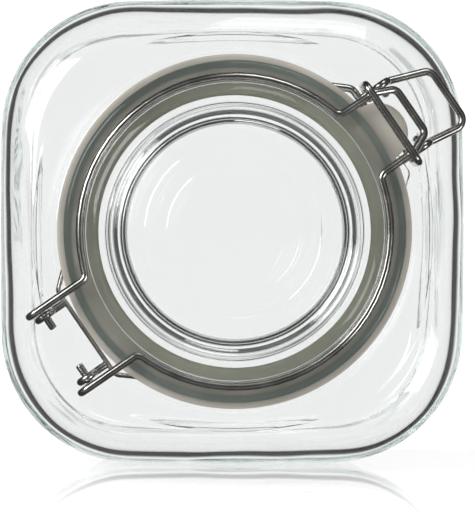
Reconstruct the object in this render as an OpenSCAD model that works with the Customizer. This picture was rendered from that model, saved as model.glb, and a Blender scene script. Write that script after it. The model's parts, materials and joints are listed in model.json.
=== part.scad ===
// Square glass storage canister with a clamp-down glass lid.
// Millimetres, +Z up. The origin is the centre of the base, on the face the jar stands on.
// The wire fittings are turned about Z by fittings_angle: the latch is on that side, the hinge opposite.

/* [Jar] */

// Width of the square body, flat side to flat side
body_w = 130; // [124:1:170]
// Height of the body, from the base to the flat of the shoulder
body_h = 150; // [100:1:240]
// Radius of the body's upright corners, seen from above
corner_r = 36; // [34:1:50]
// Thickness of the glass in the body's sides
wall = 3.3; // [2.8:0.1:7]
// Thickness of the glass under the contents
base_t = 8; // [5:0.5:14]
// Rounding where the sides meet the shoulder
shoulder_round = 14; // [10:0.5:24]
// Rounding where the sides meet the base
base_round = 9; // [8:0.5:16]

/* [Neck] */

// Outer radius of the neck where the wire ring runs
neck_r = 46; // [44:0.5:50]
// Height of the neck above the shoulder
neck_h = 22; // [21:0.5:30]
// Thickness of the glass in the neck
neck_wall = 8; // [6:0.5:9]

/* [Lid] */

// How far the lid's rim reaches beyond the neck
lid_over = 1.1; // [0.5:0.1:2]
// Thickness of the lid's rim
lid_rim_t = 4; // [3:0.25:6]
// Height of the raised centre above the rim
lid_rise = 5; // [3.5:0.25:8]
// Thickness of the rubber ring
gasket_t = 3; // [2:0.25:4]
// How far the rubber ring shows beyond the neck
gasket_over = 2.8; // [2.2:0.1:3.4]
// How far the pull tab reaches beyond the rubber ring
tab_length = 7.2; // [4.2:0.2:9.2]

/* [Wire fittings] */

// Direction of the latch, counted from +X towards +Y
fittings_angle = 34.5; // [0:0.5:45]
// Thickness of the steel wire
wire_d = 2.2; // [1.8:0.1:2.6]
// How far the hinge pins and the lever pins stand out beyond the neck
pivot_out = 10.2; // [9.5:0.1:12]
// Length of the lever beyond its pins
handle_length = 15.6; // [13:0.1:22]
// Width of the latch link, middle of wire to middle of wire
link_w = 25.8; // [25.4:0.2:28]
// How far the lever's outer end leans to one side, as its wire is bent
handle_lean = -3.2; // [-3.5:0.1:3.5]

/* [Hidden] */

$fn = 96;
wire_r = wire_d / 2;
rod_r = wire_r - 0.02;
lap = 0.06;
eps = 0.01;

// jar
inner_w = body_w - 2 * wall;
flat_half = body_w / 2 - corner_r;
rim_z = body_h + neck_h;
bore_r = neck_r - neck_wall;
bead_r = neck_r + 2.2;
neck_foot = 4.7;
punt_r = 34;
punt_depth = 1.2;

// wire eyes: a curl of wire with a running fit on a pin of the same wire
pin_gap = 0.08;
link_slack = 0.4;
eye_r = wire_d + pin_gap;
eye_v = link_w / 2 - wire_d - link_slack;
eye_turn = 262;
weld_step = 0.35;
soft_bend = wire_d + 0.2;
tight_bend = wire_r + 0.2;
wide_bend = 3;

// lever and link heights, which set how high the neck ring runs above the shoulder
link_gap = 0.29;
crank_u = 3.9;
crank_z = 2 * eye_r + wire_d + weld_step + link_gap;
handle_drop = 2;
handle_gap = 1;

// neck ring
ring_gap = 0.35;
bead_gap = 1.9;
ring_r = neck_r + ring_gap + wire_r;
ring_z = body_h + handle_gap + wire_r + handle_drop + crank_z;
bead_h = rim_z - ring_z - wire_r - bead_gap;
bead_edge = min(2, bead_h / 2 - 0.2);
chord_u = neck_r + 3.4;
chord_v = eye_v + 3.7;
ring_join = asin((chord_v + 5.3) / ring_r);
pivot_u = neck_r + pivot_out;
pivot_z = ring_z + eye_r;

// lid and gasket
seat_gap = 0.05;
gasket_z = rim_z + seat_gap;
lid_z = gasket_z + gasket_t;
ledge_z = lid_z + lid_rim_t;
lid_top = ledge_z + lid_rise;
lid_r = neck_r + lid_over;
gasket_r = neck_r + gasket_over;
gasket_bore = bore_r - 0.9;
ledge_w = 5.9;
centre_r = lid_r - ledge_w;
crown_r = centre_r - 4.1;
dish_r = crown_r - 2.9;
dish_depth = 1.4;
plug_gap = 1.8;
plug_r = gasket_bore - plug_gap;
plug_drop = 5;
cup_r = plug_r - 4.4;
lid_skin = 5.5;
tab_gap = 3.4;
tab_reach = gasket_r + tab_length;
tab_round = link_w / 2 - wire_r - tab_gap;
tab_root_u = gasket_r - 3;
tab_root_v = tab_round + 4.2;

// lever and link
bar_gap = 0.15;
riser_gap = 0.5;
link_u = pivot_u - crank_u;
link_z = pivot_z - crank_z;
riser_v = eye_v - wire_d - riser_gap;
lever_tip_v = eye_v + wire_r;
arm_z = link_z - eye_r;
arm_knee = pivot_u + 2.4;
handle_u = pivot_u + handle_length - wire_r;
handle_v = eye_v - 1.3;
handle_z = arm_z - handle_drop;
link_tip_v = eye_v - 2.3;

// lid ring
loop_gap = 0.3;
loop_lift = 0.1;
tongue_gap = 0.8;
side_gap = 0.1;
loop_r = centre_r + loop_gap + wire_r;
loop_z = ledge_z + wire_r + loop_lift;
bar_z = loop_z + wire_d + bar_gap;
tongue_v = link_w / 2 - wire_d - tongue_gap;
tongue_tip_v = tongue_v - 2.7;
tongue_knee = link_u + 0.7;
tongue_u = link_u + 6.3;
tongue_drop = 2.4;
rear_v = eye_v + wire_d + side_gap;
rear_u = pivot_u + 4.2;
pin_tip_v = eye_v - 4.3;
front_turn = asin((tongue_v + 3.26) / loop_r);
rear_turn = asin((rear_v + 3.36) / loop_r);

glass_tone = [0.80, 0.88, 0.85, 0.45];
rubber_tone = [0.80, 0.74, 0.66];
steel_tone = [0.62, 0.63, 0.65];

// ---- plain helpers ----

function unit(v) = v / norm(v);
function turned(v, a) = [v.x * cos(a) - v.y * sin(a), v.x * sin(a) + v.y * cos(a), v.z];
// any direction square to d
function beside(d) = unit(abs(d.z) < 0.9 ? cross([0, 0, 1], d) : cross([1, 0, 0], d));

// axes x, y and z become the columns a, b and c, and the origin moves to p
module placed(a, b, c, p)
  multmatrix([[a.x, b.x, c.x, p.x], [a.y, b.y, c.y, p.y], [a.z, b.z, c.z, p.z], [0, 0, 0, 1]])
    children();

// straight wire from p to q, a hair thinner than a bend and lapping a little way into the next piece
module rod(p, q) {
  d = unit(q - p);
  s = beside(d);
  placed(s, cross(d, s), d, p - d * lap) cylinder(h = norm(q - p) + 2 * lap, r = rod_r);
}

// how far before a corner the bend of radius r starts
function bite(a, b, c, r) = r * tan(acos(unit(b - a) * unit(c - b)) / 2);

// the bend at corner b, on the way from a to c
module elbow(a, b, c, r) {
  d = unit(b - a);
  e = unit(c - b);
  n = unit(e - d * (d * e));
  t = bite(a, b, c, r);
  placed(-n, d, cross(-n, d), b - d * t + n * r)
    rotate_extrude(angle = acos(d * e)) translate([r, 0]) circle(wire_r);
}

// one bent wire through the points, with bends of radius r at the inner ones
module wire(pts, r) {
  last = len(pts) - 1;
  for (i = [0 : last - 1]) {
    d = unit(pts[i + 1] - pts[i]);
    from = i == 0 ? 0 : bite(pts[i - 1], pts[i], pts[i + 1], r);
    to = i == last - 1 ? 0 : bite(pts[i], pts[i + 1], pts[i + 2], r);
    rod(pts[i] + d * from, pts[i + 1] - d * to);
  }
  for (i = [1 : last - 1]) elbow(pts[i - 1], pts[i], pts[i + 1], r);
}

// a level arc of wire about the centre line, from angle a to angle b
module hoop(r, a, b, z)
  translate([0, 0, z]) rotate([0, 0, a])
    rotate_extrude(angle = b - a) translate([r, 0]) circle(wire_r);

// an upright curl of wire about the point u, v, z, from angle a over the given turn
module eye(u, v, z, a)
  translate([u, v, z]) rotate([90, 0, 0]) rotate([0, 0, a])
    rotate_extrude(angle = eye_turn) translate([eye_r, 0]) circle(wire_r);

module on_both_sides() {
  children();
  mirror([0, 1, 0]) children();
}

module fittings() rotate([0, 0, fittings_angle]) children();

// ---- jar ----

// section through a side: square at the inner edge, rounded outside at the top and the foot
module side_section(depth, h, top, foot) {
  square([depth - max(top, foot), h]);
  translate([0, foot]) square([depth, h - top - foot]);
  translate([0, 0]) square([depth - foot, foot]);
  translate([0, h - top]) square([depth - top, top]);
  intersection() {
    translate([depth - foot, foot]) circle(foot);
    translate([depth - foot, 0]) square(foot);
  }
  intersection() {
    translate([depth - top, h - top]) circle(top);
    translate([depth - top, h - top]) square(top);
  }
}

// square block with upright round corners of radius r and rounded top and bottom edges
module soft_block(w, r, h, top, foot) {
  half = w / 2 - r;
  translate([-half, -half, 0]) cube([2 * half, 2 * half, h]);
  for (a = [0 : 90 : 270]) rotate([0, 0, a]) {
    translate([half, half, 0]) rotate_extrude(angle = 90) side_section(r, h, top, foot);
    translate([half, half, 0]) rotate([90, 0, 0])
      linear_extrude(2 * half) side_section(r, h, top, foot);
  }
}

// half section of the neck, standing on the shoulder
module neck_section() {
  square([neck_r, neck_h]);
  translate([0, neck_h - bead_h + bead_edge]) square([bead_r, bead_h - 2 * bead_edge]);
  translate([0, neck_h - bead_h]) square([bead_r - bead_edge, bead_h]);
  for (y = [neck_h - bead_edge, neck_h - bead_h + bead_edge]) intersection() {
    translate([bead_r - bead_edge, y]) circle(bead_edge);
    translate([bead_r - bead_edge, y < neck_h - bead_h / 2 ? y - bead_edge : y]) square(bead_edge);
  }
  difference() {
    translate([0, -1]) square([neck_r + neck_foot, neck_foot + 1]);
    translate([neck_r + neck_foot, neck_foot]) circle(neck_foot);
  }
}

module jar_body()
  color(glass_tone)
  difference() {
    union() {
      soft_block(body_w, corner_r, body_h, shoulder_round, base_round);
      translate([0, 0, body_h]) rotate_extrude() neck_section();
    }
    translate([0, 0, base_t])
      soft_block(inner_w, corner_r - wall, body_h - base_t - wall, shoulder_round - wall, base_round - 2);
    translate([0, 0, body_h / 2]) cylinder(h = body_h, r = bore_r);
    translate([0, 0, -eps]) cylinder(h = punt_depth + eps, r1 = punt_r, r2 = punt_r - 1.5);
  }

// ---- lid ----

// half section of the lid; y = 0 is the underside of the rim
module lid_section() {
  top = lid_rim_t + lid_rise;
  polygon([
    [0, top - lid_skin], [cup_r - 2.5, top - lid_skin], [cup_r, top - lid_skin - 1.5],
    [cup_r + 1, -plug_drop], [plug_r - 2.2, -plug_drop], [plug_r - 0.7, -plug_drop + 1.4],
    [plug_r, 0], [lid_r - 1, 0], [lid_r, 1], [lid_r, lid_rim_t - 1.2], [lid_r - 1.2, lid_rim_t],
    [centre_r, lid_rim_t], [centre_r, lid_rim_t + lid_rise * 0.45], [crown_r + 1.4, top - 0.6],
    [crown_r, top], [dish_r, top], [dish_r - 1.6, top - dish_depth], [0, top - dish_depth]]);
}

module lid()
  color(glass_tone)
  translate([0, 0, lid_z]) rotate_extrude() lid_section();

module gasket()
  color(rubber_tone)
  fittings()
  translate([0, 0, gasket_z]) difference() {
    union() {
      cylinder(h = gasket_t, r = gasket_r);
      linear_extrude(gasket_t) {
        polygon([[0, tab_root_v], [tab_root_u, tab_root_v], [tab_reach - tab_round, tab_round + 0.6],
          [tab_reach - tab_round, -tab_round - 0.6], [tab_root_u, -tab_root_v], [0, -tab_root_v]]);
        translate([tab_reach - tab_round, 0]) circle(tab_round);
      }
    }
    translate([0, 0, -1]) cylinder(h = gasket_t + 2, r = gasket_bore);
  }

// ---- wire fittings, drawn with the latch towards +X ----

// the run from a hoop of radius r at angle a to the line y = v, as the corner where they meet
function run_in(r, a, v, s) =
  let (p = r * [cos(a), sin(a)], t = [s * abs(sin(a)), -abs(cos(a))], k = (p.y - v) / -t.y)
  p + k * t;

module neck_ring()
  color(steel_tone)
  fittings() {
    start = ring_r * [cos(ring_join), sin(ring_join)];
    for (m = [0, 1]) mirror([m, 0, 0]) {
      wire([[start.x, start.y, ring_z], [chord_u, chord_v, ring_z], [chord_u, -chord_v, ring_z],
        [start.x, -start.y, ring_z]], wide_bend);
      on_both_sides() {
        rod([chord_u - 0.5, eye_v, ring_z - weld_step], [pivot_u, eye_v, ring_z - weld_step]);
        eye(pivot_u, eye_v, pivot_z - weld_step, -90);
      }
    }
    on_both_sides() hoop(ring_r, ring_join, 180 - ring_join, ring_z);
  }

module lid_ring()
  color(steel_tone)
  fittings() {
    front = loop_r * [cos(front_turn), sin(front_turn)];
    rear = loop_r * [-cos(rear_turn), sin(rear_turn)];
    f = run_in(loop_r, front_turn, tongue_v, 1);
    b = run_in(loop_r, rear_turn, rear_v, 1);
    on_both_sides() {
      hoop(loop_r, front_turn, 180 - rear_turn, loop_z);
      wire([[rear.x, rear.y, loop_z], [-b.x, rear_v, loop_z], [-rear_u, rear_v, loop_z],
        [-pivot_u, rear_v, pivot_z - weld_step], [-pivot_u, pin_tip_v, pivot_z - weld_step]], soft_bend);
    }
    wire([[front.x, front.y, loop_z], [f.x, tongue_v, loop_z], [tongue_knee, tongue_v - 0.2, loop_z],
      [tongue_u, tongue_tip_v, loop_z - tongue_drop], [tongue_u, -tongue_tip_v, loop_z - tongue_drop],
      [tongue_knee, -tongue_v + 0.2, loop_z], [f.x, -tongue_v, loop_z], [front.x, -front.y, loop_z]],
      soft_bend);
  }

module latch_lever()
  color(steel_tone)
  fittings() {
    wire([[link_u, eye_v, arm_z], [arm_knee, eye_v, arm_z], [handle_u, handle_lean + handle_v, handle_z],
      [handle_u, handle_lean - handle_v, handle_z], [arm_knee, -eye_v, arm_z], [link_u, -eye_v, arm_z]],
      wide_bend);
    on_both_sides() {
      eye(link_u, eye_v, link_z, 270 - eye_turn);
      wire([[pivot_u, lever_tip_v, pivot_z - weld_step], [pivot_u, riser_v, pivot_z - weld_step],
        [pivot_u, riser_v, arm_z + weld_step], [pivot_u, eye_v, arm_z + weld_step]], tight_bend);
    }
  }

module latch_link()
  color(steel_tone)
  fittings()
  wire([[link_u, link_tip_v, link_z], [link_u, link_w / 2, link_z], [link_u, link_w / 2, bar_z],
    [link_u, -link_w / 2, bar_z], [link_u, -link_w / 2, link_z], [link_u, -link_tip_v, link_z]], soft_bend);

jar_body();
lid();
gasket();
neck_ring();
lid_ring();
latch_lever();
latch_link();
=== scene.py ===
"""Finishes a square glass canister with a clamp-down lid, piece by piece, round its fixed frame."""
import json
import math

import bpy
from bpy.props import FloatProperty, FloatVectorProperty, IntProperty, PointerProperty
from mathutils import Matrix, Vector


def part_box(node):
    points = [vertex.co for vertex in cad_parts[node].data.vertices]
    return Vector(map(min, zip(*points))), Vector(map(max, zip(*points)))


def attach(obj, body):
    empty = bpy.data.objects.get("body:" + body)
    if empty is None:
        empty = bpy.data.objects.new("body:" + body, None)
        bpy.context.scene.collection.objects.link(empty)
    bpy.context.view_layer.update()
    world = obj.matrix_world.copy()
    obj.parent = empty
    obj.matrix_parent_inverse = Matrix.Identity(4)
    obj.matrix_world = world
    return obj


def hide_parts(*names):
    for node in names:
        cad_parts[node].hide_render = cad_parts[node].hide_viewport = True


bl_info = {
    "name": "Clamp-lid canister",
    "version": (1, 0, 0),
    "blender": (4, 5, 0),
    "location": "3D View > Sidebar > Canister",
    "description": "Models the glass, the rubber ring and the wire fittings of a clamp-lid canister",
    "category": "Object",
}

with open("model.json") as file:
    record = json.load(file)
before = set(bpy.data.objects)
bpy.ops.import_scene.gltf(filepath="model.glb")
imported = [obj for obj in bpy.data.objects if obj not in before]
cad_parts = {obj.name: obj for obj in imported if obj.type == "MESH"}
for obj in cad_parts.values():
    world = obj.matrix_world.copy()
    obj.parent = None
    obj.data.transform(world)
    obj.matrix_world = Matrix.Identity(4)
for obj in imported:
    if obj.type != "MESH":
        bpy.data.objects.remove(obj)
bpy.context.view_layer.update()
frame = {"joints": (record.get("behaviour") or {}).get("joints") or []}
MM = 0.001

# ---- places taken from the frame ----

JOINTS = {j["name"]: j for j in frame["joints"]}
LATCH_AXIS = Vector(JOINTS["lever_hinge"]["axis"])
LATCH_ANGLE = math.atan2(LATCH_AXIS.x, -LATCH_AXIS.y)
TO_LATCH = Vector((math.cos(LATCH_ANGLE), math.sin(LATCH_ANGLE), 0))
TO_SIDE = Vector((-TO_LATCH.y, TO_LATCH.x, 0))
LEVER_PIN = Vector(JOINTS["lever_hinge"]["pos_m"])
HINGE_PIN = Vector(JOINTS["lid_hinge"]["pos_m"])
LINK_PIN = Vector(JOINTS["link_hinge"]["pos_m"])
JAR_LOW, JAR_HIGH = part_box("jar_body")
LID_LOW, LID_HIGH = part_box("lid")
GASKET_LOW, GASKET_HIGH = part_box("gasket")
LOOP_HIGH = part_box("lid_ring")[1]
LINK_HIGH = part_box("latch_link")[1]


def along(u, v, z):
    """The point u metres towards the latch, v metres to its side and z metres up."""
    return TO_LATCH * u + TO_SIDE * v + Vector((0, 0, z))


# ---- settings ----


class CanisterGlass(bpy.types.PropertyGroup):
    """Sizes and tint of the glass pieces"""

    body_width: FloatProperty(
        name="Body width", description="Flat side to flat side", unit="LENGTH",
        default=JAR_HIGH.x - JAR_LOW.x)
    corner_radius: FloatProperty(
        name="Corner radius", description="Upright corners of the body, seen from above",
        unit="LENGTH", default=36 * MM)
    shoulder_height: FloatProperty(
        name="Shoulder height", description="Base to the flat of the shoulder", unit="LENGTH",
        default=150 * MM)
    wall: FloatProperty(
        name="Wall", description="Glass thickness in the sides and the shoulder", unit="LENGTH",
        default=3.3 * MM)
    base: FloatProperty(
        name="Base", description="Glass thickness under the contents", unit="LENGTH",
        default=8 * MM)
    neck_radius: FloatProperty(
        name="Neck radius", description="Outside of the neck where the ring runs", unit="LENGTH",
        default=46 * MM)
    bore_radius: FloatProperty(
        name="Bore radius", description="Inside of the mouth", unit="LENGTH", default=38 * MM)
    unevenness: FloatProperty(
        name="Unevenness", description="How far the inner wall wanders in and out",
        unit="LENGTH", default=0.55 * MM)
    tint: FloatVectorProperty(
        name="Tint", description="Colour that thick glass takes on", subtype="COLOR",
        size=4, min=0, max=1, default=(0.68, 0.86, 0.78, 1))
    tint_density: FloatProperty(
        name="Tint density", description="Strength of the tint for each metre of glass",
        default=2.8, min=0)
    roundness: IntProperty(
        name="Facets", description="Segments in each rounded corner", default=14, min=6)


class CanisterRubber(bpy.types.PropertyGroup):
    """Size and colour of the rubber ring"""

    outer_radius: FloatProperty(
        name="Outer radius", description="Outside of the ring", unit="LENGTH", default=48.8 * MM)
    inner_radius: FloatProperty(
        name="Inner radius", description="Inside of the ring", unit="LENGTH", default=37.1 * MM)
    tab_reach: FloatProperty(
        name="Tab reach", description="Tip of the pull tab from the centre", unit="LENGTH",
        default=56 * MM)
    colour: FloatVectorProperty(
        name="Colour", description="Colour of the rubber", subtype="COLOR", size=4,
        min=0, max=1, default=(0.50, 0.475, 0.42, 1))


class CanisterWire(bpy.types.PropertyGroup):
    """Size and colour of the steel wire"""

    thickness: FloatProperty(
        name="Thickness", description="Diameter of the wire", unit="LENGTH", default=2.2 * MM)
    facets: IntProperty(name="Facets", description="Sides of the round wire", default=20, min=8)
    colour: FloatVectorProperty(
        name="Colour", description="Colour of the polished steel", subtype="COLOR", size=4,
        min=0, max=1, default=(0.72, 0.71, 0.675, 1))


class CanisterStage(bpy.types.PropertyGroup):
    """Floor, lights and camera"""

    floor_colour: FloatVectorProperty(
        name="Floor colour", description="Colour of the floor", subtype="COLOR", size=4,
        min=0, max=1, default=(0.93, 0.93, 0.93, 1))
    floor_glow: FloatProperty(
        name="Floor glow", description="Light given off by the floor, as a light table does",
        default=0.85, min=0)
    glow_through: FloatProperty(
        name="Glow behind glass", description="Brightness of the floor as glass and metal see it",
        default=1.0, min=0)
    glow_near: FloatProperty(
        name="Bright radius", description="How far from the jar the floor stays fully bright",
        unit="LENGTH", default=0.125)
    glow_far: FloatProperty(
        name="Dark radius", description="Where glass and metal see the floor as dark",
        unit="LENGTH", default=0.205)
    sheet_gloss: FloatProperty(
        name="Sheet gloss", description="Strength of the mirror image beside the jar", default=1.0,
        min=0)
    room_through: FloatProperty(
        name="Room behind glass", description="Brightness of the room straight through the glass",
        default=0.6, min=0)
    eye_height: FloatProperty(
        name="Camera height", description="Camera above the lid", unit="LENGTH", default=1.9)


# ---- mesh helpers ----


def edit(obj):
    bpy.context.view_layer.objects.active = obj
    obj.select_set(True)
    bpy.ops.object.mode_set(mode="EDIT")


def leave_edit():
    bpy.ops.object.mode_set(mode="OBJECT")


def clear_selection():
    if bpy.context.object and bpy.context.object.mode != "OBJECT":
        leave_edit()
    for obj in bpy.context.selected_objects:
        obj.select_set(False)


def pick(obj, test):
    """Selects only the vertices that pass the test, and the edges and faces between them."""
    mesh = obj.data
    for v in mesh.vertices:
        v.select = test(v.co)
    for e in mesh.edges:
        e.select = all(mesh.vertices[i].select for i in e.vertices)
    for p in mesh.polygons:
        p.select = all(mesh.vertices[i].select for i in p.vertices)


def lathe_ring(z, radius, sides, name):
    """A ring of edges at height z, selected and in edit mode."""
    clear_selection()
    bpy.ops.mesh.primitive_circle_add(vertices=sides, radius=radius, location=(0, 0, z))
    obj = bpy.context.object
    obj.name = name
    bpy.ops.object.transform_apply(location=True, rotation=True, scale=True)
    edit(obj)
    bpy.ops.mesh.select_all(action="SELECT")
    return obj


def draw_on(steps, z, size):
    """Extrudes the selected loop from height z through (size, z, pull) steps; a pull rounds it."""
    for new_size, new_z, *pull in steps:
        bpy.ops.mesh.extrude_edges_move(TRANSFORM_OT_translate={"value": (0, 0, new_z - z)})
        k = new_size / size
        bpy.ops.transform.resize(value=(k, k, 1), center_override=(0, 0, new_z))
        if any(pull):
            bpy.ops.transform.tosphere(value=pull[0])
        size, z = new_size, new_z
    return z


def arc_steps(centre_r, centre_z, radius, start, end, count):
    """Points (r, z) on an arc; angles in degrees from the outward direction."""
    steps = []
    for i in range(count + 1):
        a = math.radians(start + (end - start) * i / count)
        steps.append((centre_r + radius * math.cos(a), centre_z + radius * math.sin(a)))
    return steps


def apply_modifier(obj, kind, **values):
    if obj.mode != "OBJECT":
        leave_edit()
    bpy.context.view_layer.objects.active = obj
    mod = obj.modifiers.new(kind.title(), kind)
    for key, value in values.items():
        setattr(mod, key, value)
    bpy.ops.object.modifier_apply(modifier=mod.name)


def close_shell(obj, merge=1e-6):
    """Merges doubles, turns every face outwards and leaves edit mode."""
    bpy.ops.mesh.select_all(action="SELECT")
    bpy.ops.mesh.remove_doubles(threshold=merge)
    bpy.ops.mesh.normals_make_consistent(inside=False)
    leave_edit()


def smooth(obj, angle=None):
    clear_selection()
    obj.select_set(True)
    bpy.context.view_layer.objects.active = obj
    if angle is None:
        bpy.ops.object.shade_smooth()
    else:
        bpy.ops.object.shade_smooth_by_angle(angle=math.radians(angle))


def hand_over(obj, body, nodes, material):
    obj.data.materials.clear()
    obj.data.materials.append(material)
    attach(obj, body)
    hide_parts(*nodes)
    clear_selection()


# ---- wire bending ----


def bend_path(points, radius):
    """Straight runs and bends through the points, as (kind, values) moves after the first point."""
    moves, at = [], points[0]
    for i in range(1, len(points)):
        corner = points[i]
        if i == len(points) - 1:
            moves.append(("run", corner - at))
            break
        into = (corner - at).normalized()
        out = (points[i + 1] - corner).normalized()
        turn = into.angle(out)
        bite = radius * math.tan(turn / 2)
        start = corner - into * bite
        side = (out - into * out.dot(into)).normalized()
        moves.append(("run", start - at))
        moves.append(("bend", start + side * radius, into.cross(out).normalized(), turn))
        at = corner + out * bite
    return moves


def bend_wire(name, start, heading, moves, thickness, facets):
    """A closed tube that follows the moves from the start point."""
    clear_selection()
    turn = heading.to_track_quat("Z", "Y").to_euler()
    bpy.ops.mesh.primitive_circle_add(
        vertices=facets, radius=thickness / 2, fill_type="NGON", location=start, rotation=turn)
    obj = bpy.context.object
    obj.name = name
    bpy.ops.object.transform_apply(location=True, rotation=True, scale=True)
    edit(obj)
    bpy.ops.mesh.select_all(action="SELECT")
    for move in moves:
        if move[0] == "run":
            bpy.ops.mesh.extrude_region_move(TRANSFORM_OT_translate={"value": move[1]})
        else:
            _, centre, axis, angle = move
            steps = max(3, round(abs(math.degrees(angle)) / 6))
            # with no window the spin turns the other way
            bpy.ops.mesh.spin(steps=steps, angle=-angle, center=centre, axis=axis)
    close_shell(obj)
    round_ends(obj, thickness * 0.22)
    return obj


def round_ends(obj, amount):
    """Takes the sharp edge off the flat ends of a wire."""
    for poly in obj.data.polygons:
        poly.select = len(poly.vertices) > 4
    for e in obj.data.edges:
        e.select = False
    for v in obj.data.vertices:
        v.select = False
    edit(obj)
    bpy.ops.mesh.select_mode(type="FACE")
    if any(len(p.vertices) > 4 for p in obj.data.polygons):
        bpy.ops.mesh.bevel(offset=amount, segments=3, affect="EDGES")
    leave_edit()


def join(pieces, name):
    clear_selection()
    for piece in pieces:
        piece.select_set(True)
    bpy.context.view_layer.objects.active = pieces[0]
    if len(pieces) > 1:
        bpy.ops.object.join()
    obj = bpy.context.object
    obj.name = name
    return obj


# ---- shared shader effects ----

TONE_LOW, TONE_HIGH = 0.3, 0.7


def group_socket(group, name, way, kind, value=None):
    socket = group.interface.new_socket(name=name, in_out=way, socket_type=kind)
    if value is not None:
        socket.default_value = value


def ripple_group():
    """Slow ripples of moulded glass from one noise, as a surface normal."""
    if "Glass ripple" in bpy.data.node_groups:
        return bpy.data.node_groups["Glass ripple"]
    group = bpy.data.node_groups.new("Glass ripple", "ShaderNodeTree")
    group_socket(group, "Scale", "INPUT", "NodeSocketFloat", 30.0)
    group_socket(group, "Strength", "INPUT", "NodeSocketFloat", 0.1)
    group_socket(group, "Distance", "INPUT", "NodeSocketFloat", 0.001)
    group_socket(group, "Normal", "OUTPUT", "NodeSocketVector")
    nodes, links = group.nodes, group.links
    gin, gout = nodes.new("NodeGroupInput"), nodes.new("NodeGroupOutput")
    coords = nodes.new("ShaderNodeTexCoord")
    slow = nodes.new("ShaderNodeTexNoise")
    slow.inputs["Detail"].default_value = 1.5
    slow.inputs["Roughness"].default_value = 0.4
    bump = nodes.new("ShaderNodeBump")
    links.new(coords.outputs["Object"], slow.inputs["Vector"])
    links.new(gin.outputs["Scale"], slow.inputs["Scale"])
    links.new(slow.outputs["Fac"], bump.inputs["Height"])
    links.new(gin.outputs["Strength"], bump.inputs["Strength"])
    links.new(gin.outputs["Distance"], bump.inputs["Distance"])
    links.new(bump.outputs["Normal"], gout.inputs["Normal"])
    return group


def speck_group():
    """Fine even speckle and a slow cloud, both from 0 to 1."""
    if "Speck and cloud" in bpy.data.node_groups:
        return bpy.data.node_groups["Speck and cloud"]
    group = bpy.data.node_groups.new("Speck and cloud", "ShaderNodeTree")
    group_socket(group, "Fine scale", "INPUT", "NodeSocketFloat", 2000.0)
    group_socket(group, "Slow scale", "INPUT", "NodeSocketFloat", 60.0)
    group_socket(group, "Fine", "OUTPUT", "NodeSocketFloat")
    group_socket(group, "Slow", "OUTPUT", "NodeSocketFloat")
    nodes, links = group.nodes, group.links
    gin, gout = nodes.new("NodeGroupInput"), nodes.new("NodeGroupOutput")
    coords = nodes.new("ShaderNodeTexCoord")
    for name, detail in (("Fine", 3.0), ("Slow", 2.0)):
        noise = nodes.new("ShaderNodeTexNoise")
        noise.inputs["Detail"].default_value = detail
        links.new(coords.outputs["Object"], noise.inputs["Vector"])
        links.new(gin.outputs[name + " scale"], noise.inputs["Scale"])
        links.new(noise.outputs["Fac"], gout.inputs[name])
    return group


def new_material(name):
    mat = bpy.data.materials.new(name)
    mat.use_nodes = True
    nodes = mat.node_tree.nodes
    return mat, nodes, mat.node_tree.links, nodes["Principled BSDF"]


def use_group(nodes, group, **values):
    node = nodes.new("ShaderNodeGroup")
    node.node_tree = group
    for key, value in values.items():
        node.inputs[key.replace("_", " ")].default_value = value
    return node


def ramp(nodes, *stops):
    """A colour ramp with a stop at each (place, colour), the first and last of them its ends."""
    node = nodes.new("ShaderNodeValToRGB")
    elements = node.color_ramp.elements
    for element, (place, colour) in zip((elements[0], elements[1]), (stops[0], stops[-1])):
        element.position, element.color = place, (*colour, 1)
    for place, colour in stops[1:-1]:
        elements.new(place).color = (*colour, 1)
    return node


def map_range(nodes, to_low, to_high, low=0.0, high=1.0):
    node = nodes.new("ShaderNodeMapRange")
    for name, value in (("From Min", low), ("From Max", high), ("To Min", to_low),
                        ("To Max", to_high)):
        node.inputs[name].default_value = value
    return node


def relief(nodes, links, height, strength, distance):
    """The normal that a height gives."""
    node = nodes.new("ShaderNodeBump")
    node.inputs["Strength"].default_value = strength
    node.inputs["Distance"].default_value = distance
    links.new(height, node.inputs["Height"])
    return node.outputs["Normal"]


def tone_range(nodes, settings, dark, light):
    """A ramp from a darker to a lighter tone of the settings' colour."""
    base = Vector(settings.colour[:3])
    return ramp(nodes, (TONE_LOW, base * dark), (TONE_HIGH, base * light))


def glass_material(name, settings, scale, strength):
    if name in bpy.data.materials:
        return bpy.data.materials[name]
    mat, nodes, links, skin = new_material(name)
    skin.inputs["Transmission Weight"].default_value = 1.0
    skin.inputs["Metallic"].default_value = 0.0
    skin.inputs["IOR"].default_value = 1.51
    ripple = use_group(nodes, ripple_group(), Scale=scale, Strength=strength, Distance=0.001)
    links.new(ripple.outputs["Normal"], skin.inputs["Normal"])
    specks = use_group(nodes, speck_group(), Fine_scale=900.0, Slow_scale=25.0)
    clear = ramp(nodes, (TONE_LOW, (0.985, 0.992, 0.988)), (TONE_HIGH, (0.996, 1.0, 0.998)))
    links.new(specks.outputs["Slow"], clear.inputs["Fac"])
    links.new(clear.outputs["Color"], skin.inputs["Base Color"])
    haze = map_range(nodes, 0.0, 0.02, low=0.55, high=0.8)
    links.new(specks.outputs["Slow"], haze.inputs["Value"])
    links.new(haze.outputs["Result"], skin.inputs["Roughness"])
    depth = nodes.new("ShaderNodeVolumeAbsorption")
    depth.inputs["Color"].default_value = settings.tint
    depth.inputs["Density"].default_value = settings.tint_density
    links.new(depth.outputs["Volume"], nodes["Material Output"].inputs["Volume"])
    return mat


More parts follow.
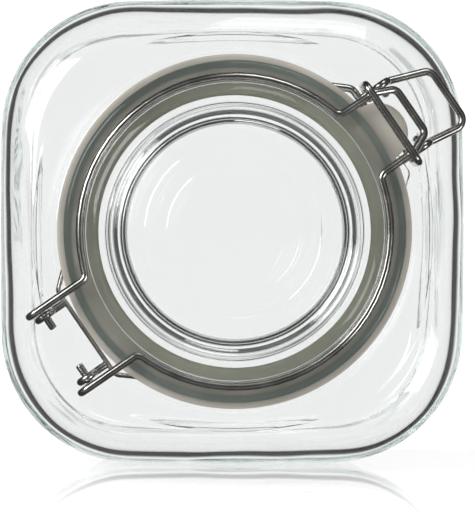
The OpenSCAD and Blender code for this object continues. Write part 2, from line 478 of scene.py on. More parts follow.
def rubber_material(settings):
    mat, nodes, links, skin = new_material("Off-white rubber")
    specks = use_group(nodes, speck_group(), Fine_scale=1800.0, Slow_scale=70.0)
    tone = tone_range(nodes, settings, 0.88, 1.08)
    links.new(specks.outputs["Slow"], tone.inputs["Fac"])
    # painted shade: the zone under the lid glass is darker, in fine rings, where less light reaches
    # the rubber
    coords = nodes.new("ShaderNodeTexCoord")
    split = nodes.new("ShaderNodeSeparateXYZ")
    flat = nodes.new("ShaderNodeCombineXYZ")
    radius = nodes.new("ShaderNodeVectorMath")
    radius.operation = "LENGTH"
    zone = map_range(nodes, 0.0, 1.0, low=settings.inner_radius, high=settings.outer_radius)
    painted_shade_rings = ramp(nodes, (0.0, (0.92, 1.0, 0.90)), (0.56, (0.98, 1.0, 0.96)),
                   (0.64, (0.98, 1.0, 0.98)), (0.70, (0.62, 0.76, 0.76)), (0.75, (0.70, 0.82, 0.82)),
                   (0.80, (0.95, 1.0, 0.98)), (0.87, (0.80, 0.84, 0.82)), (0.90, (1, 1, 1)),
                   (1.0, (1, 1, 1)))
    shade = nodes.new("ShaderNodeMixRGB")
    shade.blend_type = "MULTIPLY"
    shade.inputs["Fac"].default_value = 1.0
    links.new(coords.outputs["Object"], split.inputs["Vector"])
    links.new(split.outputs["X"], flat.inputs["X"])
    links.new(split.outputs["Y"], flat.inputs["Y"])
    links.new(flat.outputs["Vector"], radius.inputs[0])
    links.new(radius.outputs["Value"], zone.inputs["Value"])
    links.new(zone.outputs["Result"], painted_shade_rings.inputs["Fac"])
    links.new(tone.outputs["Color"], shade.inputs["Color1"])
    links.new(painted_shade_rings.outputs["Color"], shade.inputs["Color2"])
    links.new(shade.outputs["Color"], skin.inputs["Base Color"])
    rough = map_range(nodes, 0.5, 0.72)
    links.new(specks.outputs["Fine"], rough.inputs["Value"])
    links.new(rough.outputs["Result"], skin.inputs["Roughness"])
    grain = relief(nodes, links, specks.outputs["Fine"], 0.25, 0.1 * MM)
    links.new(grain, skin.inputs["Normal"])
    skin.inputs["Subsurface Weight"].default_value = 0.15
    skin.inputs["Subsurface Scale"].default_value = 2 * MM
    return mat


def steel_material(settings):
    if "Bright steel wire" in bpy.data.materials:
        return bpy.data.materials["Bright steel wire"]
    mat, nodes, links, skin = new_material("Bright steel wire")
    skin.inputs["Metallic"].default_value = 1.0
    specks = use_group(nodes, speck_group(), Fine_scale=2600.0, Slow_scale=160.0)
    tone = tone_range(nodes, settings, 0.72, 1.12)
    links.new(specks.outputs["Slow"], tone.inputs["Fac"])
    links.new(tone.outputs["Color"], skin.inputs["Base Color"])
    rough = map_range(nodes, 0.12, 0.3)
    links.new(specks.outputs["Slow"], rough.inputs["Value"])
    links.new(rough.outputs["Result"], skin.inputs["Roughness"])
    drawn = relief(nodes, links, specks.outputs["Fine"], 0.12, 0.05 * MM)
    links.new(drawn, skin.inputs["Normal"])
    return mat


# ---- glass body ----

SHOULDER_R = 14 * MM
FOOT_R, INNER_FOOT_R = 9 * MM, 7 * MM
SKIRT = 5.4 * MM       # from the neck out to where the shoulder begins to rise to it
SEAM_OUT, SEAM_UP = 4.75 * MM, 0.8 * MM
FLAT_CUTS = 15         # cuts along each flat side
SIDE_ROWS = 6          # levels between the belt and a rounding
BOW = 0.035            # how far the flat sides swell towards a circle
SOFTEN = 0.03          # the same at each level of the shoulder
AXIS_R = 0.8 * MM      # the small loop that a closed end shrinks to


def square_loop(name, width, corner, z, segments):
    """A rounded square of edges at height z, selected and in edit mode."""
    clear_selection()
    bpy.ops.mesh.primitive_plane_add(size=width, location=(0, 0, z))
    obj = bpy.context.object
    obj.name = name
    bpy.ops.object.transform_apply(location=True, rotation=True, scale=True)
    edit(obj)
    bpy.ops.mesh.select_all(action="SELECT")
    bpy.ops.mesh.delete(type="ONLY_FACE")
    bpy.ops.mesh.select_all(action="SELECT")
    bpy.ops.mesh.bevel(offset=corner, offset_type="OFFSET", segments=segments, affect="VERTICES")
    leave_edit()
    half = width / 2
    for e in obj.data.edges:
        a, b = (obj.data.vertices[i].co for i in e.vertices)
        e.select = (a - b).length > width / 4
    for v in obj.data.vertices:
        v.select = False
    edit(obj)
    bpy.ops.mesh.select_mode(type="EDGE")
    bpy.ops.mesh.subdivide(number_cuts=FLAT_CUTS)
    bpy.ops.mesh.select_mode(type="VERT")
    bpy.ops.mesh.select_all(action="SELECT")
    bpy.ops.transform.tosphere(value=BOW)
    leave_edit()
    reach = max(v.co.x for v in obj.data.vertices)
    edit(obj)
    bpy.ops.mesh.select_all(action="SELECT")
    bpy.ops.transform.resize(value=(half / reach, half / reach, 1), center_override=(0, 0, z))
    return obj


def last_loop(obj, z, tol=1e-5):
    """Selects only the vertices at height z that lie on an open edge."""
    bpy.ops.mesh.select_all(action="DESELECT")
    bpy.ops.mesh.select_mode(type="VERT")
    bpy.ops.mesh.select_non_manifold(extend=False, use_wire=True, use_boundary=True,
                                     use_multi_face=False, use_non_contiguous=False, use_verts=False)
    leave_edit()
    for v in obj.data.vertices:
        v.select = v.select and abs(v.co.z - z) < tol
    for e in obj.data.edges:
        e.select = all(obj.data.vertices[i].select for i in e.vertices)
    for p in obj.data.polygons:
        p.select = False
    edit(obj)


def join_loops(obj, low_z, high_z, tol=1e-5):
    """Bridges the open loops at the two heights."""
    bpy.ops.mesh.select_all(action="DESELECT")
    leave_edit()
    counts = {}
    for p in obj.data.polygons:
        for key in p.edge_keys:
            counts[key] = counts.get(key, 0) + 1
    for e in obj.data.edges:
        zs = [obj.data.vertices[i].co.z for i in e.vertices]
        at = all(abs(z - low_z) < tol for z in zs) or all(abs(z - high_z) < tol for z in zs)
        e.select = at and counts.get(e.key, 0) == 1
    edit(obj)
    bpy.ops.mesh.select_mode(type="EDGE")
    bpy.ops.mesh.bridge_edge_loops()
    bpy.ops.mesh.select_mode(type="VERT")


def fill_end():
    """Closes the small loop that the last extrusion left selected."""
    bpy.ops.mesh.edge_face_add()


def side_rows(half, start, end):
    """Level steps up or down a flat side."""
    return [(half, start + (end - start) * i / SIDE_ROWS) for i in range(1, SIDE_ROWS + 1)]


def neck_steps(s):
    """From the shoulder up the outside of the neck, over the mouth and down inside to the throat."""
    neck, bore, top, rim = s.neck_radius, s.bore_radius, s.shoulder_height, JAR_HIGH.z
    bead, edge, cove, lip = neck + 2.2 * MM, 2 * MM, 4.7 * MM, 1.5 * MM
    throat = 4.5 * MM
    steps = [(neck + 5 * MM, top + 0.02 * MM), (neck + SEAM_OUT, top + SEAM_UP),
             (neck + 4.5 * MM, top + 0.05 * MM)]
    steps += arc_steps(neck + cove, top + cove, cove, 260, 184, 6)
    steps += [(neck, top + 7 * MM), (neck, top + 11 * MM), (neck, rim - 8.1 * MM)]
    steps += arc_steps(bead - edge, rim - 5.5 * MM, edge, -80, 0, 5)
    steps += [(bead, rim - 3.6 * MM)] + arc_steps(bead - edge, rim - edge, edge, 0, 84, 5)
    steps += [(bead - edge - 1.4 * MM, rim), (bore + 2.2 * MM, rim)]
    steps += arc_steps(bore + lip, rim - lip, lip, 96, 180, 5)
    steps += [(bore, rim - 5 * MM), (bore, rim - 10 * MM), (bore, rim - 16 * MM)]
    steps += arc_steps(bore + throat, top, throat, 180, 262, 6)
    return steps


def rag_seam(skin, seam_z):
    """Makes the thin ridge at the foot of the neck ragged, as the mould leaves it."""
    group = skin.vertex_groups.new(name="seam")
    for v in skin.data.vertices:
        if abs(v.co.z - seam_z) < 0.02 * MM:
            group.add([v.index], 1.0, "REPLACE")
    rag = bpy.data.textures.new("rag", "CLOUDS")
    rag.noise_scale = 3 * MM
    apply_modifier(skin, "DISPLACE", texture=rag, texture_coords="LOCAL", vertex_group="seam",
                   strength=0.9 * MM, mid_level=0.5)


def outer_skin(s, belt):
    """The outside of the jar and its neck; also gives the height where the throat ends."""
    half, top, neck = s.body_width / 2, s.shoulder_height, s.neck_radius
    skin = square_loop("jar_glass", s.body_width, s.corner_radius, belt, s.roundness)
    rows = side_rows(half, belt, top - SHOULDER_R)
    rows += [(r, z, SOFTEN) for r, z in arc_steps(
        half - SHOULDER_R, top - SHOULDER_R, SHOULDER_R, 8, 82, 9)]
    rows += [(neck + 7.4 * MM, top - 0.12 * MM, 0.35), (neck + 6.4 * MM, top - 0.06 * MM, 0.6),
             (neck + SKIRT, top, 1.0)]
    z = draw_on(rows, belt, half)
    # the loop is a circle now: give it its true radius before going on
    leave_edit()
    reach = max(math.hypot(v.co.x, v.co.y) for v in skin.data.vertices if v.select)
    edit(skin)
    k = (neck + SKIRT) / reach
    bpy.ops.transform.resize(value=(k, k, 1), center_override=(0, 0, z))
    throat_z = draw_on(neck_steps(s), top, neck + SKIRT)
    last_loop(skin, belt)
    rows = side_rows(half, belt, FOOT_R) + arc_steps(half - FOOT_R, FOOT_R, FOOT_R, -8, -90, 7)
    # the base rests on a flat rim round a shallow round hollow
    hollow = 1.2 * MM
    rows += [(half - FOOT_R - 6 * MM, 0, 0.4), (half - FOOT_R - 12 * MM, 0, 0.7),
             (36 * MM, 0, 1.0), (34.5 * MM, 0.15 * MM, 1.0), (33 * MM, 1.05 * MM, 1.0)]
    rows += [(r, hollow, 1.0) for r in (30 * MM, 18 * MM, 6 * MM, AXIS_R)]
    draw_on(rows, belt, half)
    fill_end()
    leave_edit()
    rag_seam(skin, top + SEAM_UP)
    return skin, throat_z


def wander(skin, s, inner_top):
    """Lets the inner wall wander in and out between its floor and its shoulder."""
    group = skin.vertex_groups.new(name="inner wall")
    for v in skin.data.vertices:
        low = min(1.0, max(0.0, (v.co.z - s.base - 1 * MM) / (12 * MM)))
        high = min(1.0, max(0.0, (inner_top - v.co.z) / (9 * MM)))
        group.add([v.index], low * high, "REPLACE")
    for size, share in ((45 * MM, 1.0), (14 * MM, 0.35)):
        cloud = bpy.data.textures.new("wander", "CLOUDS")
        cloud.noise_scale = size
        cloud.noise_depth = 1
        apply_modifier(skin, "DISPLACE", texture=cloud, texture_coords="LOCAL",
                       vertex_group="inner wall", strength=s.unevenness * share * 2, mid_level=0.5)


def inner_skin(s, belt):
    """The inside of the jar; also gives the height of the open edge under the shoulder."""
    half = s.body_width / 2 - s.wall
    top = s.shoulder_height - s.wall
    turn, foot = SHOULDER_R - s.wall, INNER_FOOT_R
    skin = square_loop("jar_inner", half * 2, s.corner_radius - s.wall, belt, s.roundness)
    rows = side_rows(half, belt, s.shoulder_height - SHOULDER_R)
    rows += [(r, z, SOFTEN) for r, z in arc_steps(half - turn, top - turn, turn, 10, 80, 8)]
    rows += [(half - turn - 1 * MM, top - 0.05 * MM, 0.5),
             (s.neck_radius + 1 * MM, top - 0.02 * MM, 1.0)]
    shelf_z = draw_on(rows, belt, half)
    last_loop(skin, belt)
    rows = side_rows(half, belt, s.base + foot)
    rows += arc_steps(half - foot, s.base + foot, foot, -8, -90, 7)
    rows += [(half - foot - 8 * MM, s.base, 0.5), (38 * MM, s.base + 0.1 * MM, 1.0),
             (28 * MM, s.base + 0.3 * MM, 1.0), (16 * MM, s.base + 0.5 * MM, 1.0),
             (6 * MM, s.base + 0.6 * MM, 1.0), (AXIS_R, s.base + 0.6 * MM, 1.0)]
    draw_on(rows, belt, half)
    fill_end()
    leave_edit()
    wander(skin, s, top)
    return skin, shelf_z


class CANISTER_OT_jar(bpy.types.Operator):
    """Model the glass body: rounded square walls, a soft shoulder and a round beaded neck"""

    bl_idname = "canister.jar"
    bl_label = "Glass body"

    def execute(self, context):
        s = context.scene.canister_glass
        belt = s.shoulder_height * 0.5
        outer, throat_z = outer_skin(s, belt)
        inner, shelf_z = inner_skin(s, belt)
        jar = join([outer, inner], "jar_glass")
        edit(jar)
        join_loops(jar, throat_z, shelf_z)
        close_shell(jar)
        apply_modifier(jar, "SUBSURF", levels=1, render_levels=1)
        smooth(jar)
        glass = glass_material("Body glass", s, 26.0, 0.05)
        hand_over(jar, "jar", ["jar_body"], glass)
        return {"FINISHED"}


class CANISTER_OT_lid(bpy.types.Operator):
    """Model the pressed glass lid: rim, wire ledge, raised dished centre and hollow plug"""

    bl_idname = "canister.lid"
    bl_label = "Glass lid"

    def execute(self, context):
        s = context.scene.canister_glass
        low = GASKET_HIGH.z
        top = LID_HIGH.z
        rim = (LID_HIGH.x - LID_LOW.x) / 2
        ledge = low + 4 * MM
        plug_low = LID_LOW.z
        dish = top - 1.4 * MM
        plug, cup = 35.2 * MM, 31.0 * MM
        steps = [(8 * MM, dish)]
        # two low raised rings round the middle
        for r, rise, foot in ((18.2 * MM, 0.60 * MM, 0.08 * MM), (24.2 * MM, 0.62 * MM, 0.10 * MM)):
            steps += [(r - 1.6 * MM, dish), (r - 0.7 * MM, dish + foot), (r, dish + rise),
                      (r + 0.7 * MM, dish + foot), (r + 1.6 * MM, dish)]
        steps += [(29 * MM, dish)]
        steps += arc_steps(31.4 * MM, dish + 1.6 * MM, 1.6 * MM, 270, 318, 3)
        steps += arc_steps(34.6 * MM, top - 1.3 * MM, 1.3 * MM, 140, 90, 3)
        steps += [(36.0 * MM, top)]
        steps += [(37.1 * MM + 4.1 * MM * math.sin(a), top - 3.4 * MM * (1 - math.cos(a)))
                  for a in (0.15, 0.4, 0.7, 1.0, 1.25, 1.45, 1.57)]
        steps += [(41.2 * MM, ledge + 0.7 * MM)]
        steps += arc_steps(41.7 * MM, ledge + 0.5 * MM, 0.5 * MM, 190, 262, 3)
        steps += [(42.6 * MM, ledge), (44.6 * MM, ledge)]
        steps += arc_steps(rim - 1.3 * MM, ledge - 1.3 * MM, 1.3 * MM, 86, 0, 5)
        steps += arc_steps(rim - 1.0 * MM, low + 1.0 * MM, 1.0 * MM, -6, -86, 4)
        steps += [(42 * MM, low), (37.6 * MM, low), (plug + 0.5 * MM, low)]
        steps += [(plug, low - 0.5 * MM), (plug - 0.35 * MM, plug_low + 2.6 * MM)]
        steps += arc_steps(plug - 1.9 * MM, plug_low + 1.4 * MM, 1.4 * MM, -8, -84, 5)
        steps += arc_steps(cup + 1.5 * MM, plug_low + 1.2 * MM, 1.2 * MM, -96, -172, 4)
        steps += [(cup + 0.2 * MM, plug_low + 3.2 * MM), (cup, low + 1.2 * MM)]
        steps += arc_steps(cup - 2.4 * MM, low + 1.1 * MM, 2.4 * MM, 6, 88, 6)
        roof = low + 3.5 * MM
        steps += [(24 * MM, roof), (14 * MM, roof + 0.2 * MM), (6 * MM, roof + 0.3 * MM),
                  (AXIS_R, roof + 0.3 * MM)]
        lid = lathe_ring(dish, AXIS_R, 120, "lid_glass")
        draw_on(steps, dish, AXIS_R)
        fill_end()
        last_loop(lid, dish)
        fill_end()
        close_shell(lid)
        group = lid.vertex_groups.new(name="middle")
        for v in lid.data.vertices:
            r = math.hypot(v.co.x, v.co.y)
            group.add([v.index], min(1.0, max(0.0, (r - 4 * MM) / (8 * MM))), "REPLACE")
        cloud = bpy.data.textures.new("lid wander", "CLOUDS")
        cloud.noise_scale = 12 * MM
        cloud.noise_depth = 1
        apply_modifier(lid, "DISPLACE", texture=cloud, texture_coords="LOCAL",
                       vertex_group="middle", strength=0.05 * MM, mid_level=0.5)
        apply_modifier(lid, "SUBSURF", levels=1, render_levels=1)
        smooth(lid)
        glass = glass_material("Lid glass", s, 40.0, 0.012)
        hand_over(lid, "cover", ["lid"], glass)
        return {"FINISHED"}


class CANISTER_OT_gasket(bpy.types.Operator):
    """Model the rubber ring with its pull tab"""

    bl_idname = "canister.gasket"
    bl_label = "Rubber ring"

    def execute(self, context):
        s = context.scene.canister_rubber
        low, high = GASKET_LOW.z, GASKET_HIGH.z
        soft = 0.7 * MM
        out, inn = s.outer_radius, s.inner_radius
        steps = arc_steps(out - soft, high - soft, soft, 80, 0, 4)
        steps += arc_steps(out - soft, low + soft, soft, 0, -90, 4)
        steps += [((out + inn) / 2, low)]
        steps += arc_steps(inn + soft, low + soft, soft, -90, -180, 4)
        steps += arc_steps(inn + soft, high - soft, soft, 180, 90, 4)
        steps += [((out + inn) / 2, high)]
        ring = lathe_ring(high, out - soft, 144, "gasket_ring")
        draw_on(steps + [(out - soft, high)], high, out - soft)
        close_shell(ring)

        clear_selection()
        reach, round_r = s.tab_reach, 8.4 * MM
        root = 43 * MM
        bpy.ops.mesh.primitive_plane_add(size=1, location=((root + reach) / 2, 0, low))
        tab = bpy.context.object
        tab.scale = (reach - root, 2 * round_r, 1)
        bpy.ops.object.transform_apply(location=True, rotation=True, scale=True)
        pick(tab, lambda co: co.x > (root + reach) / 2)
        edit(tab)
        bpy.ops.mesh.select_mode(type="VERT")
        bpy.ops.mesh.bevel(offset=round_r * 0.98, segments=12, affect="VERTICES")
        leave_edit()
        pick(tab, lambda co: co.x < root + 1 * MM)
        edit(tab)
        bpy.ops.transform.resize(value=(1, 1.62, 1), center_override=(root, 0, low))
        bpy.ops.mesh.select_all(action="SELECT")
        bpy.ops.mesh.extrude_region_move(
            TRANSFORM_OT_translate={"value": (0, 0, high - low)})
        close_shell(tab)
        apply_modifier(tab, "BEVEL", width=0.5 * MM, segments=3, limit_method="ANGLE",
                       angle_limit=math.radians(50))
        clear_selection()
        tab.select_set(True)
        bpy.context.view_layer.objects.active = tab
        tab.rotation_euler = (0, 0, LATCH_ANGLE)
        bpy.ops.object.transform_apply(location=True, rotation=True, scale=True)
        apply_modifier(ring, "BOOLEAN", object=tab, operation="UNION", solver="EXACT")
        bpy.data.objects.remove(tab)
        ring.name = "rubber_ring"
        smooth(ring, 35)
        hand_over(ring, "cover", ["gasket"], rubber_material(s))
        return {"FINISHED"}


# ---- wire fittings; u is towards the latch, v to its side ----

EYE_V = 10.3 * MM          # eyes and curls, from the middle line
FREE_STEP = 0.35 * MM      # between a joined leg and the wire that it meets
PIN_GAP = 0.08 * MM        # room that a curl leaves round its pin
CURL = math.radians(262)
WIDE_BEND, BEND, PIN_BEND, FOOT_BEND = 3 * MM, 2.4 * MM, 1.3 * MM, 1 * MM
WIRE_EDGE = 40             # degrees past which a wire's edge stays sharp


def bent(name, points, radius, curl=None):
    """One wire through the points; a curl is (centre, axis, angle) after the last run."""
    s = bpy.context.scene.canister_wire
    moves = bend_path(points, radius)
    if curl:
        moves.append(("bend", *curl))
    heading = (points[1] - points[0]).normalized()
    return bend_wire(name, points[0], heading, moves, s.thickness, s.facets)


class CANISTER_OT_neck_ring(bpy.types.Operator):
    """Bend the wire ring that runs round the neck, with its four curled eyes"""

    bl_idname = "canister.neck_ring"
    bl_label = "Neck ring"

    def execute(self, context):
        s = context.scene.canister_wire
        wire = s.thickness
        z = JOINTS["ring_turn"]["pos_m"][2]
        ring_r = context.scene.canister_glass.neck_radius + 0.35 * MM + wire / 2
        chord_u, chord_v = context.scene.canister_glass.neck_radius + 3.4 * MM, 14 * MM
        join_a = math.radians(24)
        hop = math.pi - 2 * join_a
        ends = [along(sx * ring_r * math.cos(join_a), sy * ring_r * math.sin(join_a), z)
                for sx, sy in ((1, 1), (-1, 1), (-1, -1), (1, -1))]
        corners = [along(sx * chord_u, sy * chord_v, z)
                   for sx, sy in ((1, 1), (-1, 1), (-1, -1), (1, -1))]
        # start in the middle of the front chord and go all the way round
        start = along(chord_u, 0, z)
        moves = bend_path([start, corners[0], ends[0]], WIDE_BEND)
        moves.append(("bend", Vector((0, 0, z)), Vector((0, 0, 1)), hop))
        moves += bend_path([ends[1], corners[1], corners[2], ends[2]], WIDE_BEND)
        moves.append(("bend", Vector((0, 0, z)), Vector((0, 0, 1)), hop))
        moves += bend_path([ends[3], corners[3], start - TO_SIDE * 0.02 * MM], WIDE_BEND)
        pieces = [bend_wire("neck_loop", start, TO_SIDE, moves, wire, s.facets)]
        eye_r = wire + PIN_GAP
        leg_z = z - FREE_STEP
        for pin, way in ((LEVER_PIN, TO_LATCH), (HINGE_PIN, -TO_LATCH)):
            for side in (1, -1):
                foot = along(0, side * EYE_V, leg_z) + way * (chord_u - 0.4 * MM)
                bottom = Vector((pin.x, pin.y, leg_z)) + TO_SIDE * side * EYE_V
                centre = bottom + Vector((0, 0, eye_r))
                pieces.append(bent("neck_eye", [foot, bottom], FOOT_BEND,
                                   curl=(centre, way.cross(Vector((0, 0, 1))), CURL)))
        ring = join(pieces, "neck_wire")
        smooth(ring, WIRE_EDGE)
        hand_over(ring, "ring", ["neck_ring"], steel_material(s))
        return {"FINISHED"}


class CANISTER_OT_lid_ring(bpy.types.Operator):
    """Bend the wire that circles the lid, with its tongue and its two hinge arms"""

    bl_idname = "canister.lid_ring"
    bl_label = "Lid ring"

    def execute(self, context):
        s = context.scene.canister_wire
        wire = s.thickness
        z = LOOP_HIGH.z - wire / 2
        r = 41.5 * MM + wire / 2
        rear_v, rear_u, tip_v = 12.6 * MM, 60.4 * MM, 6 * MM
        pin_z = HINGE_PIN.z
        pin_u = -HINGE_PIN.dot(TO_LATCH)
        front_a, rear_a = math.radians(18), math.radians(22)

        def meet(a, v):
            """Where the run that leaves the circle at angle a crosses the line v."""
            p = Vector((r * math.cos(a), r * math.sin(a)))
            return p.x + (p.y - v) / math.cos(a) * math.sin(a)

        def rear_run(side):
            return [along(-pin_u, side * tip_v, pin_z), along(-pin_u, side * rear_v, pin_z),
                    along(-rear_u, side * rear_v, z), along(-meet(rear_a, rear_v), side * rear_v, z),
                    along(-r * math.cos(rear_a), side * r * math.sin(rear_a), z)]

        tongue_v = 9.9 * MM
        knee, tip_u, drop = 53 * MM, 58.6 * MM, 2.4 * MM
        front = [along(r * math.cos(front_a), r * math.sin(front_a), z),
                 along(meet(front_a, tongue_v), tongue_v, z), along(knee, tongue_v - 0.2 * MM, z),
                 along(tip_u, 7.2 * MM, z - drop), along(tip_u, -7.2 * MM, z - drop),
                 along(knee, -tongue_v + 0.2 * MM, z), along(meet(front_a, tongue_v), -tongue_v, z),
                 along(r * math.cos(front_a), -r * math.sin(front_a), z)]
        # one wire from hinge pin to hinge pin: rear arm, half circle, tongue, half circle, rear arm
        first = rear_run(1)
        moves = bend_path(first, BEND)
        sweep = math.pi - front_a - rear_a
        centre = Vector((0, 0, z))
        moves.append(("bend", centre, Vector((0, 0, -1)), sweep))
        moves += bend_path(front, BEND)
        moves.append(("bend", centre, Vector((0, 0, -1)), sweep))
        moves += bend_path(list(reversed(rear_run(-1))), BEND)
        ring = bend_wire("lid_wire", first[0], (first[1] - first[0]).normalized(), moves, wire,
                         s.facets)
        smooth(ring, WIRE_EDGE)
        hand_over(ring, "cover", ["lid_ring"], steel_material(s))
        return {"FINISHED"}


class CANISTER_OT_latch(bpy.types.Operator):
    """Bend the latch lever with its pins, and the link that pulls the tongue down"""

    bl_idname = "canister.latch"
    bl_label = "Latch lever and link"

    def execute(self, context):
        s = context.scene.canister_wire
        wire = s.thickness
        pin_u = LEVER_PIN.dot(TO_LATCH)
        link_u = LINK_PIN.dot(TO_LATCH)
        eye_r = wire + PIN_GAP
        arm_z = LINK_PIN.z - eye_r
        knee = pin_u + 2.4 * MM
        end_u, end_v, end_z = 71.8 * MM - wire / 2, 9 * MM, arm_z - 2 * MM
        lean = -3.2 * MM
        arm = [along(link_u, EYE_V, arm_z), along(knee, EYE_V, arm_z),
               along(end_u, lean + end_v, end_z), along(end_u, lean - end_v, end_z),
               along(knee, -EYE_V, arm_z), along(link_u, -EYE_V, arm_z)]
        # one wire: curl, arm, handle, arm, curl
        top = Vector((0, 0, 1))
        centre = along(link_u, EYE_V, LINK_PIN.z)
        begin = centre + (TO_LATCH * math.sin(CURL) - top * math.cos(CURL)) * eye_r
        heading = TO_LATCH * math.cos(CURL) + top * math.sin(CURL)
        moves = [("bend", centre, TO_SIDE, CURL)]
        moves += bend_path(arm, WIDE_BEND)
        moves.append(("bend", along(link_u, -EYE_V, LINK_PIN.z), TO_SIDE, CURL))
        pieces = [bend_wire("lever_wire", begin, heading, moves, wire, s.facets)]
        riser_v, tip_v, pin_z = 7.6 * MM, 11.4 * MM, LEVER_PIN.z
        for side in (1, -1):
            pieces.append(bent("lever_pin", [
                along(pin_u, side * tip_v, pin_z), along(pin_u, side * riser_v, pin_z),
                along(pin_u, side * riser_v, arm_z + FREE_STEP),
                along(pin_u, side * EYE_V, arm_z + FREE_STEP)], PIN_BEND))
        lever = join(pieces, "lever_wire")
        smooth(lever, WIRE_EDGE)
        hand_over(lever, "lever", ["latch_lever"], steel_material(s))

        half, tip, bar_z = 12.9 * MM, 8 * MM, LINK_HIGH.z - wire / 2
        pts = [along(link_u, side * v, z) for side, v, z in (
            (1, tip, LINK_PIN.z), (1, half, LINK_PIN.z), (1, half, bar_z), (-1, half, bar_z),
            (-1, half, LINK_PIN.z), (-1, tip, LINK_PIN.z))]
        link = bent("link_wire", pts, BEND)
        smooth(link, WIRE_EDGE)
        hand_over(link, "link", ["latch_link"], steel_material(s))
        return {"FINISHED"}


# ---- stage ----

DARK_REFLECTED = 0.03      # the far floor, in light that glass or steel has reflected
SHEET_UP, SHEET_WIDE = 1.4, 1.2
PATH_BOUNCES, CLEAR_BOUNCES = 64, 16


def floor_material(s):
    """A pale lit floor; through glass it is bright near the jar and fades farther out."""
    mat, nodes, links, skin = new_material("Pale floor")
    skin.inputs["Base Color"].default_value = s.floor_colour
    skin.inputs["Roughness"].default_value = 0.6
    skin.inputs["Emission Color"].default_value = (1, 1, 1, 1)
    skin.inputs["Emission Strength"].default_value = s.floor_glow
    paths = nodes.new("ShaderNodeLightPath")
    coords = nodes.new("ShaderNodeTexCoord")
    reach = nodes.new("ShaderNodeVectorMath")
    reach.operation = "LENGTH"
    fade = map_range(nodes, s.glow_through, 0.0, low=s.glow_near, high=s.glow_far)
    fade.interpolation_type = "SMOOTHSTEP"
    # light that the glass or the steel has reflected finds a darker room
    seen = map_range(nodes, s.room_through, DARK_REFLECTED)
    glow = nodes.new("ShaderNodeEmission")
    choose = nodes.new("ShaderNodeMixShader")
    links.new(paths.outputs["Glossy Depth"], seen.inputs["Value"])
    links.new(seen.outputs["Result"], fade.inputs["To Max"])
    links.new(coords.outputs["Object"], reach.inputs[0])
    links.new(reach.outputs["Value"], fade.inputs["Value"])
    links.new(fade.outputs["Result"], glow.inputs["Strength"])
    links.new(paths.outputs["Is Camera Ray"], choose.inputs[0])
    links.new(glow.outputs["Emission"], choose.inputs[1])
    links.new(skin.outputs["BSDF"], choose.inputs[2])
    links.new(choose.outputs["Shader"], nodes["Material Output"].inputs["Surface"])
    return mat


def lay_floor(s):
    clear_selection()
    bpy.ops.mesh.primitive_plane_add(size=6, location=(0, 0, -0.02 * MM))
    floor = bpy.context.object
    floor.name = "floor"
    floor.data.materials.append(floor_material(s))


def sheet_material(s):
    """Clear from the front and behind, and a mirror only at a grazing angle from the front."""
    mat, nodes, links, skin = new_material("Clear glossy sheet")
    nodes.remove(skin)
    coords = nodes.new("ShaderNodeTexCoord")
    split = nodes.new("ShaderNodeSeparateXYZ")
    rise = map_range(nodes, s.sheet_gloss, 0.35, low=JAR_HIGH.z, high=JAR_HIGH.z + 0.40)
    grazing = nodes.new("ShaderNodeFresnel")
    grazing.inputs["IOR"].default_value = 1.1
    facing = nodes.new("ShaderNodeNewGeometry")
    front, shine, share = (nodes.new("ShaderNodeMath") for _ in range(3))
    front.operation = "SUBTRACT"
    front.inputs[0].default_value = 1.0
    shine.operation = share.operation = "MULTIPLY"
    clear, gloss = nodes.new("ShaderNodeBsdfTransparent"), nodes.new("ShaderNodeBsdfGlossy")
    gloss.inputs["Roughness"].default_value = 0.02
    choose = nodes.new("ShaderNodeMixShader")
    links.new(coords.outputs["Object"], split.inputs["Vector"])
    links.new(split.outputs["Z"], rise.inputs["Value"])
    links.new(facing.outputs["Backfacing"], front.inputs[1])
    links.new(grazing.outputs["Fac"], shine.inputs[0])
    links.new(rise.outputs["Result"], shine.inputs[1])
    links.new(shine.outputs["Value"], share.inputs[0])
    links.new(front.outputs["Value"], share.inputs[1])
    links.new(share.outputs["Value"], choose.inputs[0])
    links.new(clear.outputs["BSDF"], choose.inputs[1])
    links.new(gloss.outputs["BSDF"], choose.inputs[2])
    links.new(choose.outputs["Shader"], nodes["Material Output"].inputs["Surface"])
    return mat


def stand_sheet(s):
    """Stands a clear glossy sheet beside the jar, just past its side."""
    clear_selection()
    bpy.ops.mesh.primitive_plane_add(
        size=1, location=(0, JAR_LOW.y - 0.4 * MM, SHEET_UP / 2), rotation=(math.radians(-90), 0, 0))
    sheet = bpy.context.object
    sheet.name = "glossy sheet"
    sheet.scale = (SHEET_WIDE, SHEET_UP, 1)
    bpy.ops.object.transform_apply(location=True, rotation=True, scale=True)
    sheet.data.materials.append(sheet_material(s))


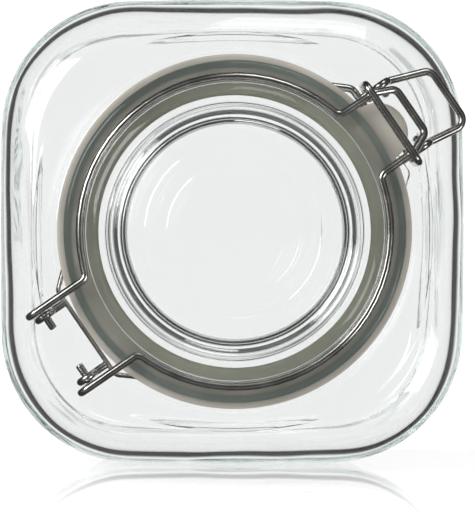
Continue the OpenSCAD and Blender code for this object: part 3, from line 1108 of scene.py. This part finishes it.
def set_room(scene, s):
    """A pale backdrop; glass and steel reflect dark bands, and light straight through is even."""
    world = bpy.data.worlds.new("Studio")
    scene.world = world
    world.use_nodes = True
    nodes, links = world.node_tree.nodes, world.node_tree.links
    paths = nodes.new("ShaderNodeLightPath")
    coords = nodes.new("ShaderNodeTexCoord")
    split = nodes.new("ShaderNodeSeparateXYZ")
    bands = ramp(nodes, *((at, (tone, tone, tone)) for at, tone in (
        (0.0, 0.12), (0.08, 0.05), (0.45, 0.03), (0.60, 0.12), (0.80, 0.20), (0.92, 0.05),
        (1.0, 0.05))))
    seen = map_range(nodes, 1.0, 0.0)
    room, choose = nodes.new("ShaderNodeMixRGB"), nodes.new("ShaderNodeMixRGB")
    room.inputs["Color2"].default_value = (s.room_through, s.room_through, s.room_through, 1)
    choose.inputs["Color2"].default_value = (0.94, 0.94, 0.94, 1)
    links.new(coords.outputs["Generated"], split.inputs["Vector"])
    links.new(split.outputs["Z"], bands.inputs["Fac"])
    links.new(paths.outputs["Glossy Depth"], seen.inputs["Value"])
    links.new(seen.outputs["Result"], room.inputs["Fac"])
    links.new(bands.outputs["Color"], room.inputs["Color1"])
    links.new(paths.outputs["Is Camera Ray"], choose.inputs["Fac"])
    links.new(room.outputs["Color"], choose.inputs["Color1"])
    links.new(choose.outputs["Color"], nodes["Background"].inputs["Color"])


def hang_lamps():
    """Three soft square lamps, aimed at the top of the lid."""
    for name, place, size, power in (
            ("key", (-0.85, 0.45, 1.0), 0.7, 7.5), ("fill", (0.95, -0.45, 0.95), 0.5, 3.0),
            ("back", (0.25, 1.1, 0.75), 0.5, 2.0)):
        bpy.ops.object.light_add(type="AREA", location=place)
        lamp = bpy.context.object
        lamp.name = name
        lamp.data.size = size
        lamp.data.energy = power
        aim = Vector((0, 0, LID_HIGH.z)) - Vector(place)
        lamp.rotation_euler = aim.to_track_quat("-Z", "Y").to_euler()


def set_camera(scene, s):
    """Looks down on the lid, leaning a little from upright."""
    # what the view spans at the lid, and how far the lid sits from its middle
    frame_high, aside, below = 142.5 * MM, 0.685 * MM, 7.81 * MM
    sensor = 36
    lean = math.radians(1.06)
    target = Vector((0, 0, LID_HIGH.z - 4 * MM))
    place = target + Vector((-math.sin(lean), 0, math.cos(lean))) * s.eye_height
    bpy.ops.object.camera_add(location=place)
    camera = bpy.context.object
    camera.name = "camera"
    camera.rotation_euler = (0, -lean, 0)
    camera.data.sensor_fit = "AUTO"
    camera.data.sensor_width = sensor
    camera.data.lens = sensor * s.eye_height / frame_high
    camera.data.shift_x = aside / frame_high
    camera.data.shift_y = -below / frame_high
    camera.data.clip_end = 50
    scene.camera = camera


class CANISTER_OT_stage(bpy.types.Operator):
    """Set the pale floor, the soft lights and the camera over the lid"""

    bl_idname = "canister.stage"
    bl_label = "Floor, lights and camera"

    def execute(self, context):
        scene = context.scene
        s = scene.canister_stage
        lay_floor(s)
        stand_sheet(s)
        set_room(scene, s)
        hang_lamps()
        set_camera(scene, s)
        # the glass carries light a long way along its walls
        scene.cycles.max_bounces = PATH_BOUNCES
        scene.cycles.transmission_bounces = PATH_BOUNCES
        scene.cycles.glossy_bounces = PATH_BOUNCES
        scene.cycles.transparent_max_bounces = CLEAR_BOUNCES
        scene.view_settings.view_transform = "Standard"
        clear_selection()
        return {"FINISHED"}


class CANISTER_PT_panel(bpy.types.Panel):
    """Lists the canister's settings and the steps that build it"""

    bl_idname = "CANISTER_PT_panel"
    bl_label = "Canister"
    bl_space_type = "VIEW_3D"
    bl_region_type = "UI"
    bl_category = "Canister"

    def draw(self, context):
        layout = self.layout
        for group in (context.scene.canister_glass, context.scene.canister_rubber,
                      context.scene.canister_wire, context.scene.canister_stage):
            box = layout.box()
            for name in group.bl_rna.properties.keys():
                if name not in ("rna_type", "name"):
                    box.prop(group, name)
        for step in STEPS:
            layout.operator(step.bl_idname)


GROUPS = (("canister_glass", CanisterGlass), ("canister_rubber", CanisterRubber),
          ("canister_wire", CanisterWire), ("canister_stage", CanisterStage))
STEPS = (CANISTER_OT_jar, CANISTER_OT_lid, CANISTER_OT_gasket, CANISTER_OT_neck_ring,
         CANISTER_OT_lid_ring, CANISTER_OT_latch, CANISTER_OT_stage)


def register():
    for name, group in GROUPS:
        bpy.utils.register_class(group)
        setattr(bpy.types.Scene, name, PointerProperty(type=group))
    for step in STEPS:
        bpy.utils.register_class(step)
    bpy.utils.register_class(CANISTER_PT_panel)


def unregister():
    bpy.utils.unregister_class(CANISTER_PT_panel)
    for step in reversed(STEPS):
        bpy.utils.unregister_class(step)
    for name, group in reversed(GROUPS):
        delattr(bpy.types.Scene, name)
        bpy.utils.unregister_class(group)


def main():
    register()
    for build in (bpy.ops.canister.jar, bpy.ops.canister.lid, bpy.ops.canister.gasket,
                  bpy.ops.canister.neck_ring, bpy.ops.canister.lid_ring, bpy.ops.canister.latch,
                  bpy.ops.canister.stage):
        build()


if __name__ == "__main__":
    main()
